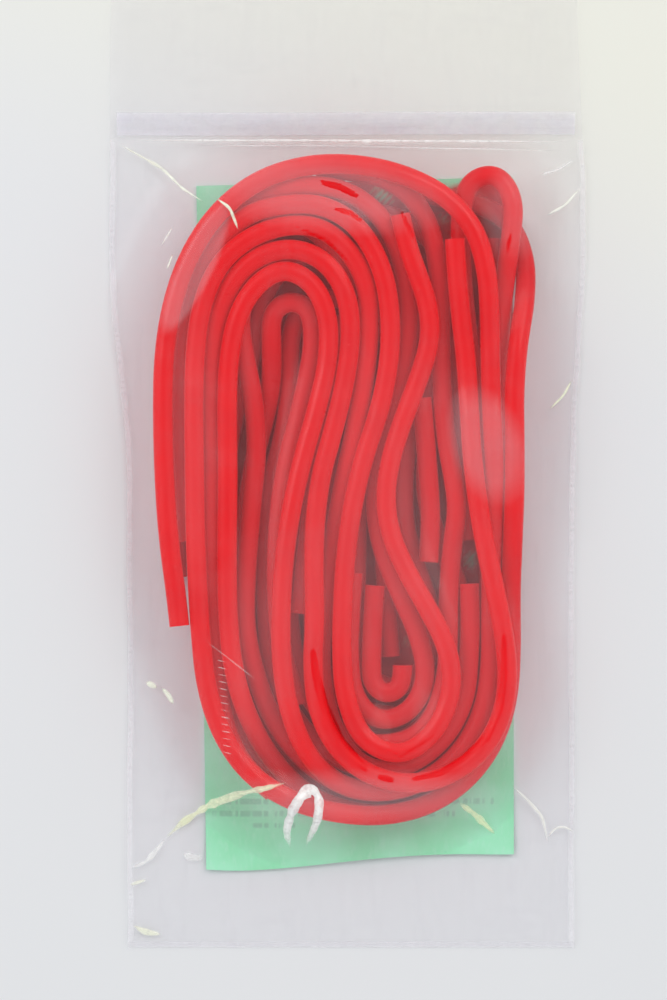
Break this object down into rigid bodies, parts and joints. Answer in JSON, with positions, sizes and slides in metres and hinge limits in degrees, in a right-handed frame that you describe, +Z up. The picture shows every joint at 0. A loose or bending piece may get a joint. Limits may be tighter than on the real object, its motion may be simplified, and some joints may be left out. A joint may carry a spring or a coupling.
{
  "type": "soft plastic worm",
  "caption": "Hank of soft red plastic worm cord folded on a green card, packed flat in a clear grip seal pouch whose front lip lifts.",
  "frame": {"origin": "under the middle of the pouch's outline, on the surface that the pouch lies on", "axes": "+Z up through the hank, +Y towards the mouth of the pouch, +X to the right seen from above"},
  "size_m": [0.105, 0.2106, 0.015],
  "materials": {
    "red_worm": "soft translucent, slightly oily gloss",
    "clear_film": "clear, faintly hazy film",
    "sealed_film": "heat welded film",
    "zip_plastic": "clear moulded zip profile",
    "green_card": "matt pale green card"
  },
  "bodies": {
    "pouch": {"back_film": "clear_film", "front_film": "clear_film", "left_seal": "sealed_film", "right_seal": "sealed_film", "bottom_seal": "sealed_film", "zip_rib": "zip_plastic", "backing_card": "green_card", "worm_1": "red_worm", "worm_2": "red_worm", "worm_3": "red_worm", "worm_4": "red_worm", "worm_5": "red_worm", "worm_6": "red_worm", "worm_7": "red_worm", "worm_8": "red_worm", "worm_9": "red_worm", "worm_10": "red_worm", "worm_11": "red_worm", "worm_12": "red_worm", "worm_13": "red_worm", "worm_14": "red_worm", "worm_15": "red_worm", "worm_16": "red_worm"},
    "lip": {"front_lip": "clear_film", "zip_channel": "zip_plastic"}
  },
  "joints": [
    {"name": "lip_open", "type": "hinge", "parent": "pouch", "child": "lip", "pos_m": [0, 0.07458, 0.00205], "axis": [1, 0, 0], "range_deg": [0, 40]}
  ]
}
